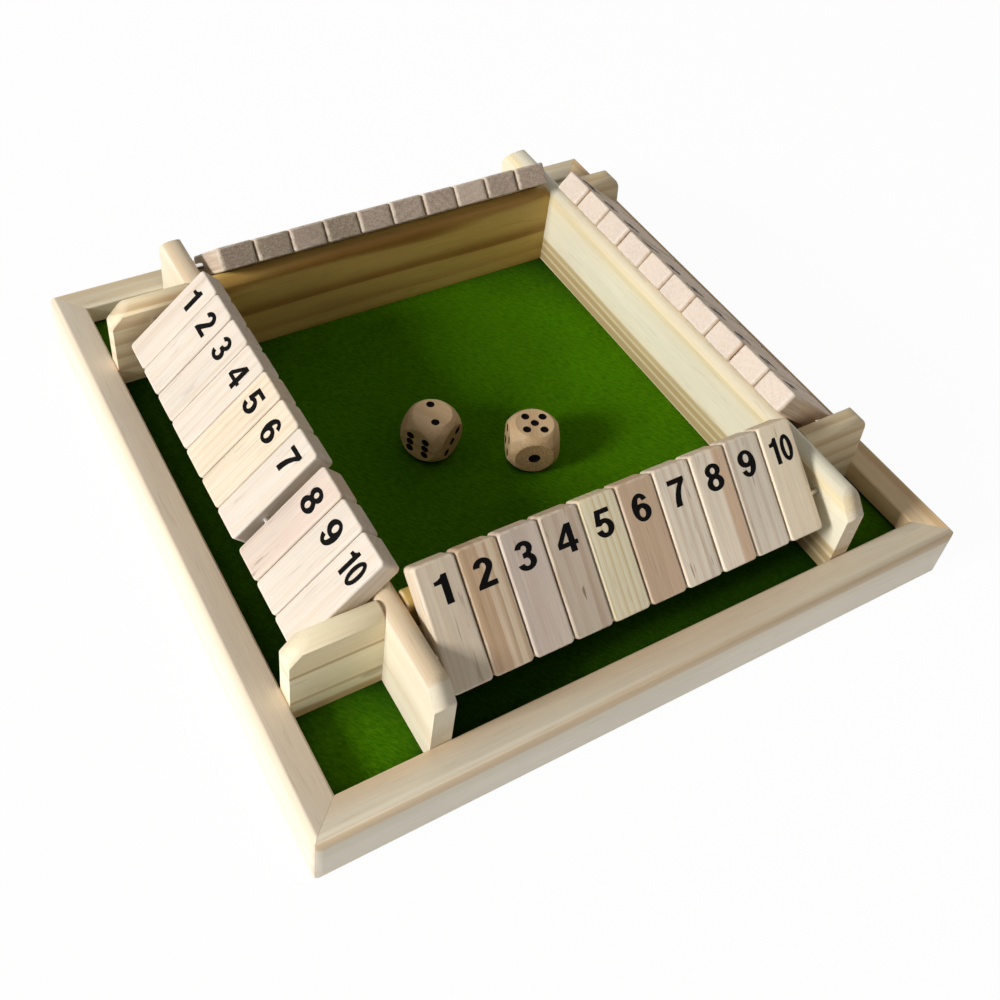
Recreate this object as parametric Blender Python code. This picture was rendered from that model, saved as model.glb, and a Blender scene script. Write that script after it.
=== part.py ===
"""Four-player shut the box game: a square pine tray with ten leaning tiles on each side."""
import math

import bmesh
import bpy
from mathutils import Matrix, Vector

MM = 0.001

# Tiles: eased blocks, ten to a row, each bored across for the row's rod.
TILES_PER_ROW = 10
TILE_WIDTH = 12.2 * MM
TILE_THICKNESS = 8.0 * MM
TILE_LENGTH = 34.8 * MM
TILE_EASE = 0.8 * MM
ROD_ABOVE_TILE_FOOT = 10.2 * MM
ROW_PLAY = 10.2 * MM

# Arena walls and wings: boards with a fully rounded top edge.
WALL_THICKNESS = 6.4 * MM
WALL_HEIGHT = 31.6 * MM
WING_CHAMFER_RUN = 6.6 * MM
WING_CHAMFER_RISE = 7.4 * MM

# Channel between an arena wall and the rail, where the tiles hang.
CHANNEL_WIDTH = 27.2 * MM

# Rails: mitred mouldings, grooved on the inside for the base board.
RAIL_WIDTH = 10.3 * MM
RAIL_HEIGHT = 20.2 * MM
RAIL_LIP_DROP = 1.0 * MM
RAIL_CREST_SETBACK = 2.1 * MM
RAIL_SHOULDER_DROP = 4.6 * MM
RAIL_FOOT_ROUND = 1.3 * MM
RAIL_ARRIS = 0.6 * MM
RAIL_CORNER_ROUND = 2.6 * MM
GROOVE_DEPTH = 4.0 * MM

# Floor: the board stands clear of the table, with the felt over it.
BOARD_LIFT = 8.3 * MM
BOARD_THICKNESS = 3.0 * MM
FELT_THICKNESS = 0.8 * MM

# Rods: round steel, each end in a blind hole in a wing.
ROD_DIAMETER = 2.0 * MM
ROD_FROM_WALL = 13.3 * MM
ROD_ABOVE_FELT = 24.0 * MM
ROD_SEAT_DEPTH = 4.0 * MM

# Dice: cubes turned down by a sphere, so that every flat is round.
DIE_SIZE = 16.0 * MM
DIE_FLAT_RADIUS = 6.2 * MM
PIP_SPACING = 5.6 * MM
PIP_RADIUS = 1.35 * MM
ACE_RADIUS = 1.9 * MM
PIP_DEPTH = 0.8 * MM
LEFT_DIE_X = -19.6 * MM
LEFT_DIE_Y = -2.3 * MM
RIGHT_DIE_X = 7.9 * MM
RIGHT_DIE_Y = -19.8 * MM

# Clearances.
SEAT_GAP = 0.3 * MM
ROD_CLEARANCE = 0.3 * MM
TILE_REST_GAP = 0.25 * MM
CUT_OVERRUN = 2.0 * MM
WELD = 0.01 * MM

ROUND_STEPS = 8
EASE_STEPS = 2
CORNER_STEPS = 2
ROD_SIDES = 16
BORE_SIDES = 12
PIP_SIDES = 8
SPHERE_SEGMENTS = 24
SPHERE_RINGS = 14

# Free room in each row, handed out before the first tile, between tiles and after the last.
ROW_GAP_SHARES = {
    "front": (3.8, 1, 1, 1, 1, 1, 1, 1, 1, 1, 9.9),
    "right": (8.3, 0.9, 1.7, 0.9, 0.9, 1, 1, 1.7, 0.9, 1.7, 15.0),
    "back": (9.3, 2, 1.2, 0.9, 2, 1, 0.9, 1, 0.9, 1.6, 13.2),
    "left": (14, 0.9, 0.9, 0.9, 0.9, 0.9, 0.9, 12, 0.9, 0.9, 1.8),
}
ROWS = ("front", "right", "back", "left")

LEFT_DIE_YAW = math.radians(28)
RIGHT_DIE_YAW = math.radians(-25.6)

PINE = (0.80, 0.66, 0.46)
PINE_WARM = (0.74, 0.58, 0.38)
PINE_PALE = (0.86, 0.76, 0.58)
TILE_WOOD = (0.78, 0.67, 0.55)
DIE_WOOD = (0.62, 0.45, 0.28)
BOARD_WOOD = (0.58, 0.42, 0.26)
FELT_GREEN = (0.06, 0.22, 0.02)
STEEL = (0.62, 0.61, 0.60)

# Levels and widths that follow from the sizes above.
ARENA = TILES_PER_ROW * TILE_WIDTH + ROW_PLAY
WALL_CENTRE = (ARENA + WALL_THICKNESS) / 2
TRAY = ARENA + 2 * (WALL_THICKNESS + CHANNEL_WIDTH)
OVERALL = TRAY + 2 * RAIL_WIDTH
BOARD_TOP = BOARD_LIFT + BOARD_THICKNESS
FELT_BOTTOM = BOARD_TOP + SEAT_GAP
FELT_TOP = FELT_BOTTOM + FELT_THICKNESS
WALL_FOOT = FELT_TOP + SEAT_GAP
ROUND_CENTRE = WALL_FOOT + WALL_HEIGHT - WALL_THICKNESS / 2
ROD_RADIUS = ROD_DIAMETER / 2
BORE_RADIUS = ROD_RADIUS + ROD_CLEARANCE
ROD_REACH = ARENA / 2 + WALL_THICKNESS + ROD_FROM_WALL
ROD_LEVEL = FELT_TOP + ROD_ABOVE_FELT
SPHERE_RADIUS = math.hypot(DIE_SIZE / 2, DIE_FLAT_RADIUS)

LENGTHWISE = Matrix(((0, 0, 1, 0), (1, 0, 0, 0), (0, 1, 0, 0), (0, 0, 0, 1)))


def clear_scene():
    for item in list(bpy.data.objects):
        bpy.data.objects.remove(item, do_unlink=True)


def new_collection(name):
    collection = bpy.data.collections.new(name)
    bpy.context.scene.collection.children.link(collection)
    return collection


def finish(item, colour, roughness, metallic=0.0):
    """Give one object its own plain material."""
    material = bpy.data.materials.new(item.name)
    material.use_nodes = True
    shader = material.node_tree.nodes["Principled BSDF"]
    shader.inputs["Base Color"].default_value = (*colour, 1)
    shader.inputs["Roughness"].default_value = roughness
    shader.inputs["Metallic"].default_value = metallic
    material.diffuse_color = (*colour, 1)
    if not item.material_slots:
        item.data.materials.append(None)
    item.material_slots[0].link = "OBJECT"
    item.material_slots[0].material = material


def add_object(name, mesh, collection):
    item = bpy.data.objects.new(name, mesh)
    collection.objects.link(item)
    return item


def add_cutter(name, mesh):
    cutter = add_object(name, mesh, cutters)
    cutter.hide_render = True
    cutter.display_type = "WIRE"
    return cutter


def cut(item, cutter, operation="DIFFERENCE"):
    boolean = item.modifiers.new(cutter.name, "BOOLEAN")
    boolean.operation = operation
    boolean.solver = "EXACT"
    boolean.object = cutter


def evaluated_mesh(item):
    """The object's mesh with its modifiers, welded."""
    bpy.context.view_layer.update()
    graph = bpy.context.evaluated_depsgraph_get()
    mesh = bpy.data.meshes.new_from_object(item.evaluated_get(graph))
    shape = bmesh.new()
    shape.from_mesh(mesh)
    bmesh.ops.remove_doubles(shape, verts=shape.verts, dist=WELD)
    shape.to_mesh(mesh)
    shape.free()
    return mesh


def mesh_of(shape, name):
    mesh = bpy.data.meshes.new(name)
    shape.to_mesh(mesh)
    shape.free()
    return mesh


def box_shape(size_x, size_y, size_z):
    shape = bmesh.new()
    bmesh.ops.create_cube(shape, size=1)
    bmesh.ops.scale(shape, vec=(size_x, size_y, size_z), verts=shape.verts)
    return shape


def add_rod_shape(shape, radius, length, sides, frame):
    """Add a closed cylinder along the frame's Z to a shape."""
    bmesh.ops.create_cone(
        shape, cap_ends=True, segments=sides, radius1=radius, radius2=radius, depth=length, matrix=frame
    )


def extrusion(name, outline, length):
    """A closed outline (across, up) drawn out along X, centred on the origin."""
    curve = bpy.data.curves.new(name, "CURVE")
    curve.dimensions = "2D"
    curve.fill_mode = "BOTH"
    curve.extrude = length / 2
    spline = curve.splines.new("POLY")
    spline.points.add(len(outline) - 1)
    for point, (across, up) in zip(spline.points, outline):
        point.co.xy = (across, up)
    spline.use_cyclic_u = True
    drawn = add_object(name + "_outline", curve, cutters)
    mesh = evaluated_mesh(drawn)
    mesh.transform(LENGTHWISE)
    bpy.data.objects.remove(drawn, do_unlink=True)
    mesh.name = name
    return mesh


def trim(mesh, point, normal):
    """Cut a mesh off beyond a plane and close the cut."""
    shape = bmesh.new()
    shape.from_mesh(mesh)
    everything = shape.verts[:] + shape.edges[:] + shape.faces[:]
    result = bmesh.ops.bisect_plane(
        shape, geom=everything, dist=WELD, plane_co=point, plane_no=normal, clear_outer=True
    )
    rim = [item for item in result["geom_cut"] if isinstance(item, bmesh.types.BMEdge)]
    bmesh.ops.holes_fill(shape, edges=rim)
    bmesh.ops.recalc_face_normals(shape, faces=shape.faces)
    shape.to_mesh(mesh)
    shape.free()


def smooth_round_faces(item):
    item.data.shade_smooth()
    item.data.set_sharp_from_angle(angle=math.radians(35))


def row_turn(row):
    """Quarter turns about the middle of the tray, from the front row."""
    return Matrix.Rotation(ROWS.index(row) * math.pi / 2, 4, "Z")


def tile_lean():
    """Angle from upright at which a tile lies on the round top of its wall."""
    inward = ROD_FROM_WALL + WALL_THICKNESS / 2
    upward = ROUND_CENTRE - ROD_LEVEL
    reach = math.hypot(inward, upward)
    offset = TILE_THICKNESS / 2 + WALL_THICKNESS / 2 + TILE_REST_GAP
    return math.atan2(inward, upward) - math.asin(offset / reach)


def build_floor():
    side = TRAY + 2 * (GROOVE_DEPTH - SEAT_GAP)
    board = add_object("base_board", mesh_of(box_shape(side, side, BOARD_THICKNESS), "base_board"), parts)
    board.location.z = BOARD_LIFT + BOARD_THICKNESS / 2
    finish(board, BOARD_WOOD, 0.7)
    side = TRAY - 2 * SEAT_GAP
    felt = add_object("felt", mesh_of(box_shape(side, side, FELT_THICKNESS), "felt"), parts)
    felt.location.z = FELT_BOTTOM + FELT_THICKNESS / 2
    finish(felt, FELT_GREEN, 0.95)


def rail_outline():
    """Moulding seen from its end: across from the inner face, up from the table."""
    lip = RAIL_HEIGHT - RAIL_LIP_DROP
    crest = RAIL_WIDTH - RAIL_CREST_SETBACK
    points = [
        (0, 0),
        (RAIL_WIDTH - RAIL_FOOT_ROUND, 0),
        (RAIL_WIDTH, RAIL_FOOT_ROUND),
    ]
    for step in range(ROUND_STEPS // 2 + 1):
        angle = math.pi / 2 * step / (ROUND_STEPS // 2)
        across = crest + RAIL_CREST_SETBACK * math.cos(angle)
        up = RAIL_HEIGHT - RAIL_SHOULDER_DROP * (1 - math.sin(angle))
        points.append((across, up))
    points += [
        (RAIL_ARRIS, lip),
        (0, lip - RAIL_ARRIS),
        (0, FELT_BOTTOM),
        (GROOVE_DEPTH, FELT_BOTTOM),
        (GROOVE_DEPTH, BOARD_LIFT - SEAT_GAP),
        (0, BOARD_LIFT - SEAT_GAP),
    ]
    return [(-across, up) for across, up in points]


def round_corner(mesh, end):
    """Sand the outer corner at one end of a front rail, in flats up to the mitre."""
    centre = Vector((end, -1, 0)) * (OVERALL / 2 - RAIL_CORNER_ROUND)
    for step in range(CORNER_STEPS):
        angle = math.pi / 4 * (step + 1) / CORNER_STEPS
        normal = Vector((end * math.sin(angle), -math.cos(angle), 0))
        trim(mesh, centre + normal * RAIL_CORNER_ROUND, normal)


def build_rails():
    """Four rails, each mitred at both ends and turned about the middle of the tray."""
    inner_face = TRAY / 2
    for row in ROWS:
        mesh = extrusion(row + "_rail", rail_outline(), OVERALL)
        mesh.transform(Matrix.Translation((0, -inner_face, 0)))
        for end in (-1, 1):
            normal = Vector((end, 1, 0)).normalized()
            trim(mesh, -normal * SEAT_GAP / 2, normal)
            round_corner(mesh, end)
        rail = add_object(row + "_rail", mesh, parts)
        rail.matrix_world = row_turn(row)
        finish(rail, PINE_WARM if row == "front" else PINE_PALE, 0.5)
        smooth_round_faces(rail)


def wall_outline():
    """Board seen from its end: square foot, fully rounded top."""
    half = WALL_THICKNESS / 2
    shoulder = WALL_HEIGHT - half
    points = [(-half, 0), (half, 0)]
    for step in range(ROUND_STEPS + 1):
        angle = math.pi * step / ROUND_STEPS
        points.append((half * math.cos(angle), shoulder + half * math.sin(angle)))
    return points


def chamfer_end(mesh, end, length):
    """Take the top corner off one end of a wall board."""
    corner = (end * length / 2, 0, WALL_HEIGHT - WING_CHAMFER_RISE)
    normal = Vector((end * WING_CHAMFER_RISE, 0, WING_CHAMFER_RUN)).normalized()
    trim(mesh, corner, normal)


def build_walls():
    """Two long side walls, two cross walls between them and four wings outside them."""
    long_length = TRAY - 2 * SEAT_GAP
    cross_length = ARENA - 2 * SEAT_GAP
    wing_length = CHANNEL_WIDTH - 2 * SEAT_GAP
    walls = {}
    for name, side in (("left_wall", -1), ("right_wall", 1)):
        mesh = extrusion(name, wall_outline(), long_length)
        for end in (-1, 1):
            chamfer_end(mesh, end, long_length)
        walls[name] = add_object(name, mesh, parts)
        walls[name].location = (side * WALL_CENTRE, 0, WALL_FOOT)
        walls[name].rotation_euler.z = math.pi / 2
        finish(walls[name], PINE_PALE, 0.5)
    for name, side in (("front_wall", -1), ("back_wall", 1)):
        walls[name] = add_object(name, extrusion(name, wall_outline(), cross_length), parts)
        walls[name].location = (0, side * WALL_CENTRE, WALL_FOOT)
        finish(walls[name], PINE, 0.5)
    outward = ARENA / 2 + WALL_THICKNESS + CHANNEL_WIDTH / 2
    for side_name, side in (("left", -1), ("right", 1)):
        for depth_name, depth in (("front", -1), ("back", 1)):
            name = side_name + "_" + depth_name + "_wing"
            mesh = extrusion(name, wall_outline(), wing_length)
            chamfer_end(mesh, side, wing_length)
            walls[name] = add_object(name, mesh, parts)
            walls[name].location = (side * outward, depth * WALL_CENTRE, WALL_FOOT)
            finish(walls[name], PINE, 0.5)
    for wall in walls.values():
        smooth_round_faces(wall)
    return walls


def rod_mesh(name, radius, length, sides):
    shape = bmesh.new()
    add_rod_shape(shape, radius, length, sides, Matrix.Rotation(math.pi / 2, 4, "Y"))
    return mesh_of(shape, name)


def build_rods(walls):
    """One rod to a row, each end in a blind hole of the board that closes the row."""
    holders = {
        "front": ("left_wall", "right_wall"),
        "back": ("left_wall", "right_wall"),
        "left": ("left_front_wing", "left_back_wing"),
        "right": ("right_front_wing", "right_back_wing"),
    }
    bore_length = ARENA + 2 * ROD_SEAT_DEPTH
    for row, held_by in holders.items():
        place = row_turn(row) @ Matrix.Translation((0, -ROD_REACH, ROD_LEVEL))
        name = row + "_rod"
        rod = add_object(name, rod_mesh(name, ROD_RADIUS, bore_length - 2 * SEAT_GAP, ROD_SIDES), parts)
        rod.matrix_world = place
        finish(rod, STEEL, 0.25, metallic=1.0)
        smooth_round_faces(rod)
        bore = add_cutter(row + "_rod_bore", rod_mesh(row + "_rod_bore", BORE_RADIUS, bore_length, BORE_SIDES))
        bore.matrix_world = place
        for wall_name in held_by:
            cut(walls[wall_name], bore)


def tile_mesh():
    """One eased block with the rod's bore through it, its origin on the rod's axis."""
    shape = box_shape(TILE_WIDTH, TILE_THICKNESS, TILE_LENGTH)
    bmesh.ops.bevel(
        shape, geom=shape.edges[:], offset=TILE_EASE, segments=EASE_STEPS, profile=0.5, affect="EDGES"
    )
    bmesh.ops.translate(shape, vec=(0, 0, TILE_LENGTH / 2 - ROD_ABOVE_TILE_FOOT), verts=shape.verts)
    block = add_cutter("tile_block", mesh_of(shape, "tile_block"))
    through = TILE_WIDTH + 2 * CUT_OVERRUN
    bore = add_cutter("tile_bore", rod_mesh("tile_bore", BORE_RADIUS, through, BORE_SIDES))
    cut(block, bore)
    return evaluated_mesh(block)


def tile_places(row):
    """Middle of each tile along its row, from the row's shares of free room."""
    shares = ROW_GAP_SHARES[row]
    edge = -ARENA / 2
    places = []
    for share in shares[:TILES_PER_ROW]:
        edge += ROW_PLAY * share / sum(shares)
        places.append(edge + TILE_WIDTH / 2)
        edge += TILE_WIDTH
    return places


def build_tiles():
    mesh = tile_mesh()
    lean = Matrix.Rotation(-tile_lean(), 4, "X")
    for row in ROWS:
        for number, along in enumerate(tile_places(row), start=1):
            tile = add_object(f"{row}_tile_{number:02d}", mesh, parts)
            seat = Matrix.Translation((along, -ROD_REACH, ROD_LEVEL))
            tile.matrix_world = row_turn(row) @ seat @ lean
            finish(tile, TILE_WOOD, 0.55)
            smooth_round_faces(tile)


def pip_marks(count):
    """Pip places on a face, in half spacings across and along it."""
    marks = []
    if count % 2:
        marks.append((0, 0))
    if count > 1:
        marks += [(-1, -1), (1, 1)]
    if count > 3:
        marks += [(-1, 1), (1, -1)]
    if count == 6:
        marks += [(-1, 0), (1, 0)]
    return marks


def die_mesh(name, faces):
    """A die from its faces: outward direction, direction across and pip count."""
    sphere = bmesh.new()
    bmesh.ops.create_uvsphere(
        sphere, u_segments=SPHERE_SEGMENTS, v_segments=SPHERE_RINGS, radius=SPHERE_RADIUS
    )
    ball = add_cutter(name + "_ball", mesh_of(sphere, name + "_ball"))
    drills = bmesh.new()
    for outward, across, count in faces:
        outward = Vector(outward)
        across = Vector(across)
        along = outward.cross(across)
        radius = ACE_RADIUS if count == 1 else PIP_RADIUS
        turn = Matrix((across, along, outward)).transposed().to_4x4()
        depth = PIP_DEPTH + CUT_OVERRUN
        level = DIE_SIZE / 2 - PIP_DEPTH + depth / 2
        for mark_x, mark_y in pip_marks(count):
            middle = across * mark_x * PIP_SPACING / 2 + along * mark_y * PIP_SPACING / 2
            frame = Matrix.Translation(middle + outward * level) @ turn
            add_rod_shape(drills, radius, depth, PIP_SIDES, frame)
    pips = add_cutter(name + "_pips", mesh_of(drills, name + "_pips"))
    cube = add_cutter(name + "_cube", mesh_of(box_shape(DIE_SIZE, DIE_SIZE, DIE_SIZE), name + "_cube"))
    cut(cube, ball, "INTERSECT")
    cut(cube, pips)
    return evaluated_mesh(cube)


def build_dice():
    level = FELT_TOP + SEAT_GAP + DIE_SIZE / 2
    up = (0, 0, 1)
    down = (0, 0, -1)
    left = (-1, 0, 0)
    right = (1, 0, 0)
    front = (0, -1, 0)
    back = (0, 1, 0)
    left_faces = (
        (up, right, 2), (down, right, 5), (left, back, 6), (right, back, 1), (front, left, 3), (back, right, 4),
    )
    right_faces = (
        (up, right, 5), (down, right, 2), (left, back, 4), (right, back, 3), (front, right, 1), (back, right, 6),
    )
    placed = (
        ("left_die", left_faces, LEFT_DIE_X, LEFT_DIE_Y, LEFT_DIE_YAW),
        ("right_die", right_faces, RIGHT_DIE_X, RIGHT_DIE_Y, RIGHT_DIE_YAW),
    )
    for name, faces, place_x, place_y, yaw in placed:
        die = add_object(name, die_mesh(name, faces), parts)
        die.location = (place_x, place_y, level)
        die.rotation_euler.z = yaw
        finish(die, DIE_WOOD, 0.5)
        smooth_round_faces(die)


clear_scene()
parts = new_collection("shut_the_box_game")
cutters = new_collection("cutters")
build_floor()
build_rails()
build_rods(build_walls())
build_tiles()
build_dice()
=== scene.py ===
import math
import random

import bmesh
import bpy
from mathutils import Matrix, Vector, noise


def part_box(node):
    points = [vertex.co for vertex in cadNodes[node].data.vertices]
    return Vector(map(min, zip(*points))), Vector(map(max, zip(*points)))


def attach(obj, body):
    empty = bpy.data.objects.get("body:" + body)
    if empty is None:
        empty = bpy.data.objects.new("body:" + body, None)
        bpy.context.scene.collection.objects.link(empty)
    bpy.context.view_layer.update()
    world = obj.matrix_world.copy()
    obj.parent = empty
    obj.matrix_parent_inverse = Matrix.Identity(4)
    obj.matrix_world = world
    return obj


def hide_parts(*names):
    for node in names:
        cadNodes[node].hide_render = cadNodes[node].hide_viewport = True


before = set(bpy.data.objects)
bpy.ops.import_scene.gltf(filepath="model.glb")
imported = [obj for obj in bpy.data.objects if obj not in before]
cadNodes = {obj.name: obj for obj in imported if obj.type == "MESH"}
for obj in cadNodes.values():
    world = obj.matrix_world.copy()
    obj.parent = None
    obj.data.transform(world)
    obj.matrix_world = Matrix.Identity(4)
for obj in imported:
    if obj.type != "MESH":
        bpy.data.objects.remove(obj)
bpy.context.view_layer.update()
mm = 0.001
rows = ("front", "right", "back", "left")
print("loaded the packed game:", len(cadNodes), "nodes")

photoCamera = {
    "place": Vector((-164.42, -230.07, 310.85)) * mm,
    "right": (0.86644, -0.49192, 0.08540),
    "up": (0.29183, 0.63776, 0.71281),
    "back": (-0.40511, -0.59269, 0.69614),
    "lens": 44.24,
    "shift": (0.0335, -0.1302),
}

studio = {
    "sky": (0.97, 0.955, 0.91),
    "skyHorizon": 0.54,
    "skyZenith": 0.15,
    "keyColour": (1.0, 0.985, 0.965),
    "keyPower": 100.0,
    "keySize": 0.76,
    "keyPlace": Vector((-2.80, -0.14, 1.38)),
    "keyAim": Vector((0.0, 0.0, 0.02)),
    "floorSize": 4.0,
    "floorDrop": 0.05 * mm,     # keeps the floor off the rails' undersides
    "floorColour": (0.92, 0.92, 0.92, 1),
    "floorGlow": 0.965,         # share of the floor that shows as plain white to the camera
}

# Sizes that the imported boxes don't give on their own.
joinery = {
    "seat": 0.03 * mm,          # hairline left where two boards meet
    "weld": 0.01 * mm,
    "endSoftening": 0.6 * mm,
}


def paint(red, green, blue):    # an sRGB colour, 0 to 255, as the shader takes it
    values = [value / 255 for value in (red, green, blue)]
    return (*[v / 12.92 if v <= 0.04045 else ((v + 0.055) / 1.055) ** 2.4 for v in values], 1.0)


def put(tree, kind, inputs=None, **settings):
    node = tree.nodes.new("ShaderNode" + kind)
    for key, value in settings.items():
        setattr(node, key, value)
    for key, value in (inputs or {}).items():
        if isinstance(value, bpy.types.NodeSocket):
            tree.links.new(value, node.inputs[key])
        else:
            node.inputs[key].default_value = value
    return node


def sums(tree, operation, first, second=0.0, clamp=False):
    return put(tree, "Math", {0: first, 1: second}, operation=operation, use_clamp=clamp).outputs[0]


def stretched(tree, vector, factors):
    return put(tree, "VectorMath", {0: vector, 1: factors}, operation="MULTIPLY").outputs[0]


def mixed(tree, share, first, second):
    return put(tree, "Mix", {0: share, 6: first, 7: second}, data_type="RGBA").outputs[2]


def shaded(tree, colour, factor):
    return put(tree, "VectorMath", {0: colour, 3: factor}, operation="SCALE").outputs[0]


def ranged(tree, value, low, high, start=0.0, end=1.0, kind="SMOOTHSTEP"):
    node = put(tree, "MapRange", {0: value, 1: low, 2: high, 3: start, 4: end}, interpolation_type=kind)
    return node.outputs[0]


def swing(tree, value, share):      # a factor that varies by a share to either side of 1
    return ranged(tree, value, 0.3, 0.7, 1 - share, 1 + share, "LINEAR")


def speckle(tree, vector, factors, detail=2.0, roughness=0.5, output="Fac"):
    inputs = {
        "Vector": stretched(tree, vector, factors), "Scale": 1.0, "Detail": detail, "Roughness": roughness,
    }
    return put(tree, "TexNoise", inputs).outputs[output]


def attribute(tree, name, output="Fac"):
    return put(tree, "Attribute", attribute_name=name).outputs[output]


def newMaterial(name):
    material = bpy.data.materials.new(name)
    material.use_nodes = True
    return material, material.node_tree, material.node_tree.nodes["Principled BSDF"]


# Wood: rings round a pith, drawn out along the board, with fibres, flecks and darker ends.
pine = {
    "early": paint(226, 210, 180),
    "late": paint(196, 164, 118),
    "heart": paint(182, 138, 88),
    "worn": paint(240, 230, 210),
    "end": paint(178, 146, 108),
    "fleckColour": paint(96, 62, 36),
    "ringStep": 2.4 * mm,
    "rings": 0.75,
    "wander": 1.6 * mm,
    "heartFrom": 60 * mm,       # radius from the pith at which the heartwood ends
    "heartFade": 6 * mm,
    "heartShare": 0.0,
    "flecks": 0.15,
    "knots": 0.0,
    "fibre": 0.15,
    "blotch": 0.12,
    "bands": (),                # streaks: axis, centre, half width and fade in mm, share, colour
    "bandWander": 4 * mm,
    "wornShare": 0.35,
    "endShare": 0.55,
    "roughness": 0.56,
    "bump": 0.22,
}


def streaked(tree, colour, drift, look):        # broad wavy streaks at set places across a board
    middle = attribute(tree, "middle", "Vector")
    wavy = put(
        tree, "VectorMath", {0: drift, 1: (look["bandWander"],) * 3, 2: middle}, operation="MULTIPLY_ADD"
    ).outputs[0]
    parts = put(tree, "SeparateXYZ", {0: wavy}).outputs
    for axis, centre, half, fade, share, streak in look["bands"]:
        away = sums(tree, "ABSOLUTE", sums(tree, "SUBTRACT", parts[axis], centre * mm))
        amount = ranged(tree, away, half * mm, (half + fade) * mm, share, 0.0)
        colour = mixed(tree, amount, colour, streak)
    return colour


def makeWood(name, **changes):
    look = {**pine, **changes}
    material, tree, shader = newMaterial(name)
    grain = attribute(tree, "grain", "Vector")
    drift = speckle(tree, grain, (45, 45, 7), output="Color")
    drift = put(tree, "VectorMath", {0: drift, 1: (0.5, 0.5, 0.5)}, operation="SUBTRACT").outputs[0]
    bent = put(
        tree, "VectorMath", {0: drift, 1: (look["wander"],) * 3, 2: grain}, operation="MULTIPLY_ADD"
    ).outputs[0]
    flat = stretched(tree, bent, (1, 1, 0))
    radius = put(tree, "VectorMath", {0: flat}, operation="LENGTH").outputs["Value"]
    turns = sums(tree, "DIVIDE", radius, look["ringStep"])
    phase = sums(tree, "FRACT", turns)
    year = {"W": sums(tree, "FLOOR", turns)}
    yearly = put(tree, "TexWhiteNoise", year, noise_dimensions="1D").outputs["Value"]
    late = sums(tree, "MULTIPLY", ranged(tree, phase, 0.30, 0.84), ranged(tree, phase, 0.90, 1.0, 1.0, 0.0))
    late = sums(tree, "MULTIPLY", late, ranged(tree, yearly, 0.0, 1.0, 0.35, 1.0, "LINEAR"))
    patchy = speckle(tree, grain, (60, 60, 9))
    late = sums(tree, "MULTIPLY", late, ranged(tree, patchy, 0.35, 0.62, 0.55, 1.0))
    late = sums(tree, "MULTIPLY", late, look["rings"])
    colour = mixed(tree, late, look["early"], look["late"])
    heartEnd = look["heartFrom"] + look["heartFade"]
    heart = ranged(tree, radius, look["heartFrom"], heartEnd, look["heartShare"], 0.0)
    colour = mixed(tree, heart, colour, look["heart"])
    if look["bands"]:
        colour = streaked(tree, colour, drift, look)

    blotch = speckle(tree, grain, (70, 70, 16), detail=3.0)
    colour = shaded(tree, colour, swing(tree, blotch, look["blotch"]))
    fibre = speckle(tree, grain, (2100, 2100, 55), detail=3.0, roughness=0.6)
    colour = shaded(tree, colour, swing(tree, fibre, look["fibre"]))
    fleck = ranged(tree, speckle(tree, grain, (900, 900, 90), detail=1.0), 0.66, 0.74)
    colour = mixed(tree, sums(tree, "MULTIPLY", fleck, look["flecks"]), colour, look["fleckColour"])

    spots = put(tree, "TexVoronoi", {"Vector": stretched(tree, bent, (34, 34, 12)), "Scale": 1.0})
    knot = ranged(tree, spots.outputs["Distance"], 0.03, 0.06, look["knots"], 0.0)
    colour = mixed(tree, knot, colour, look["fleckColour"])

    pores = speckle(tree, grain, (1500, 1500, 1500), detail=3.0)
    mottle = ranged(tree, pores, 0.35, 0.65, 0.5, 1.0, "LINEAR")
    ends = sums(tree, "MULTIPLY", attribute(tree, "endGrain"), mottle)
    colour = mixed(tree, sums(tree, "MULTIPLY", ends, look["endShare"]), colour, look["end"])
    rub = ranged(tree, speckle(tree, grain, (400, 400, 120), detail=3.0), 0.35, 0.65)
    rub = sums(tree, "MULTIPLY", sums(tree, "MULTIPLY", attribute(tree, "worn"), rub), look["wornShare"])
    colour = mixed(tree, rub, colour, look["worn"])
    tree.links.new(colour, shader.inputs["Base Color"])

    rough = ranged(tree, fibre, 0.3, 0.7, look["roughness"] - 0.07, look["roughness"] + 0.09, "LINEAR")
    tree.links.new(rough, shader.inputs["Roughness"])
    shader.inputs["Specular IOR Level"].default_value = 0.32
    height = sums(tree, "SUBTRACT", sums(tree, "MULTIPLY", fibre, 0.7), sums(tree, "MULTIPLY", fleck, 0.25))
    height = sums(tree, "ADD", height, sums(tree, "MULTIPLY", late, 0.35))
    bump = put(tree, "Bump", {"Height": height, "Strength": look["bump"], "Distance": 0.0003})
    tree.links.new(bump.outputs["Normal"], shader.inputs["Normal"])
    return material


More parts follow.
